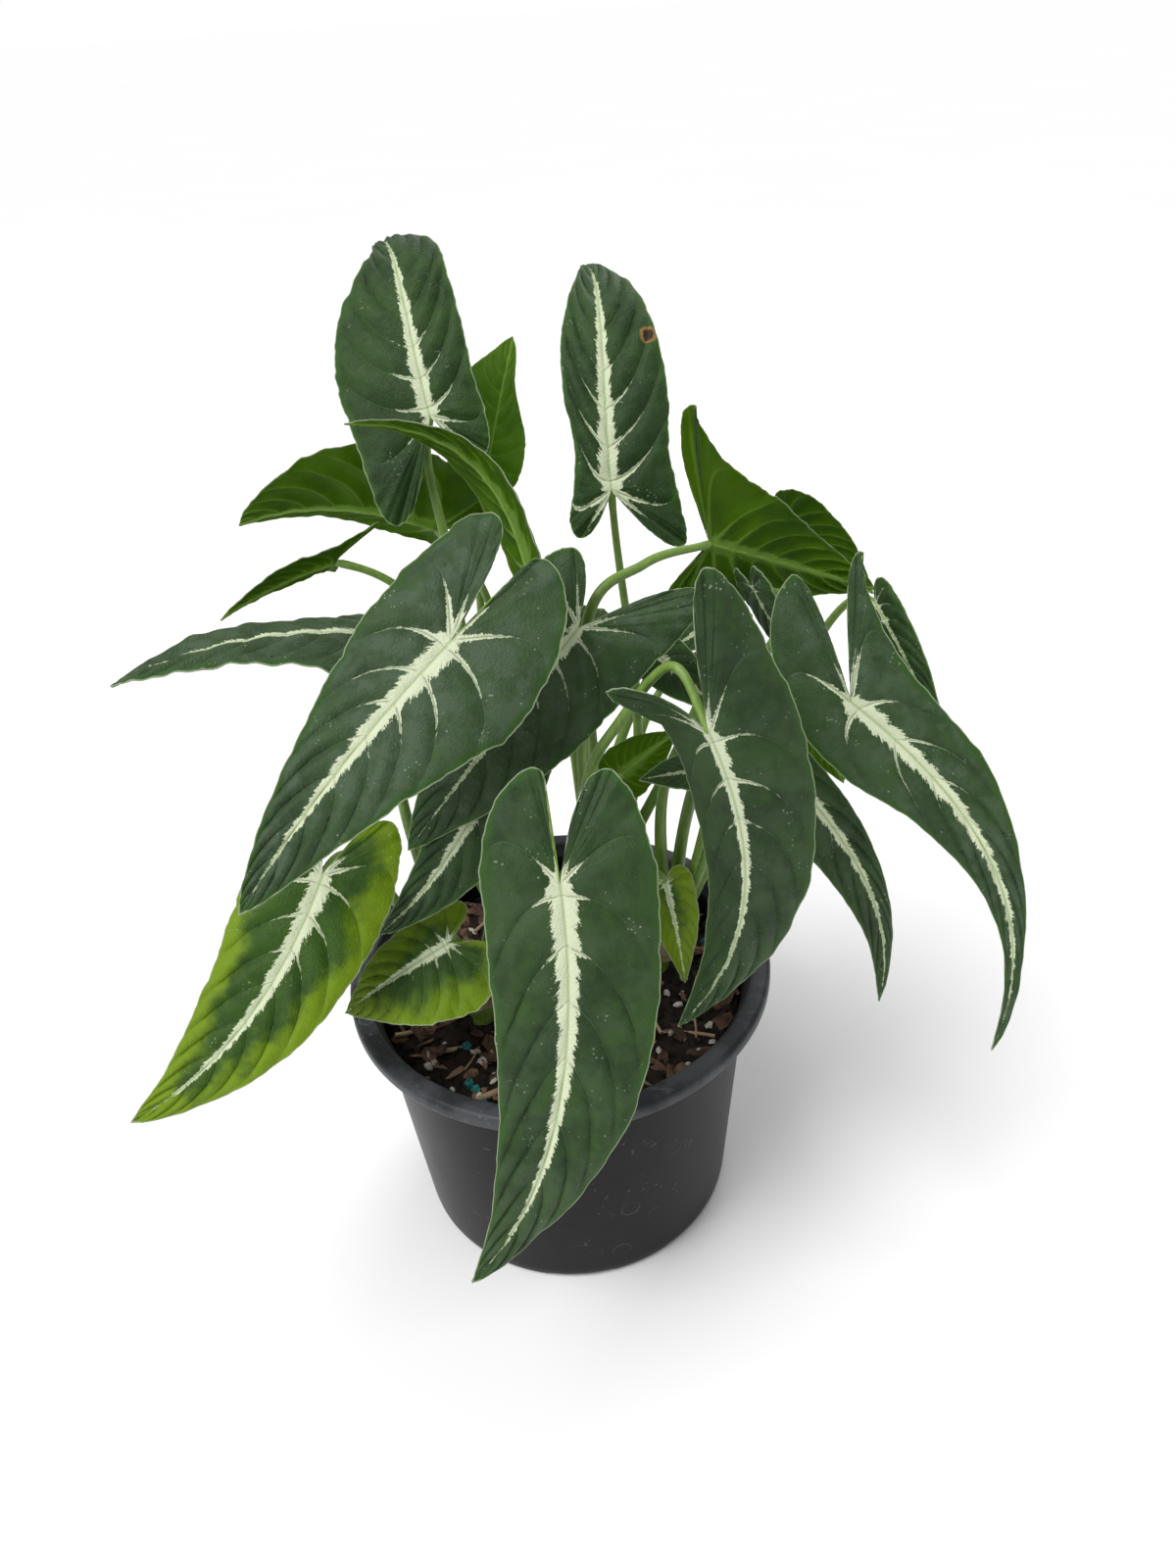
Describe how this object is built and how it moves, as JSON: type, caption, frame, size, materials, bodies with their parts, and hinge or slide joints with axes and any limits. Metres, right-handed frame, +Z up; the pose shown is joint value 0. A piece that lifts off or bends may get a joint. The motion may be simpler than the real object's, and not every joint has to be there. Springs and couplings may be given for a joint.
{
  "type": "potted syngonium",
  "caption": "Potted syngonium: arrowhead leaves with pale midribs on long stalks, in soil in a round nursery pot.",
  "frame": {"origin": "centre of the pot's underside, on the surface that it rests on", "axes": "+Z up the pot's axis, -Y towards the front of the plant, +X to the right of that front view"},
  "size_m": [0.2324, 0.1913, 0.2873],
  "materials": {
    "leaf": "soft satin, with a pale midrib",
    "stalk": "smooth green",
    "soil": "rough, loose potting mix",
    "pot": "black, lightly scuffed"
  },
  "bodies": {
    "root": {"leaf_arched": "leaf", "leaf_back_centre": "leaf", "leaf_back_left": "leaf", "leaf_back_low_left": "leaf", "leaf_back_low_right": "leaf", "leaf_centre_left": "leaf", "leaf_front_centre": "leaf", "leaf_front_left": "leaf", "leaf_inner_dark": "leaf", "leaf_inner_left": "leaf", "leaf_inner_low": "leaf", "leaf_inner_mid": "leaf", "leaf_inner_pale": "leaf", "leaf_left_curled": "leaf", "leaf_left_long": "leaf", "leaf_left_low": "leaf", "leaf_pot_small": "leaf", "leaf_right_back": "leaf", "leaf_right_band": "leaf", "leaf_right_flap": "leaf", "leaf_right_hanging": "leaf", "leaf_right_inner": "leaf", "leaf_right_low": "leaf", "leaf_right_outer": "leaf", "leaf_right_top": "leaf", "leaf_rim_left": "leaf", "leaf_top_centre": "leaf", "leaf_top_left": "leaf", "leaf_top_wavy": "leaf", "stem_front_left": "stalk", "stem_front_right": "stalk", "stem_right": "stalk", "stem_back_left": "stalk", "stem_back_right": "stalk", "soil": "soil", "pot": "pot"}
  },
  "joints": []
}
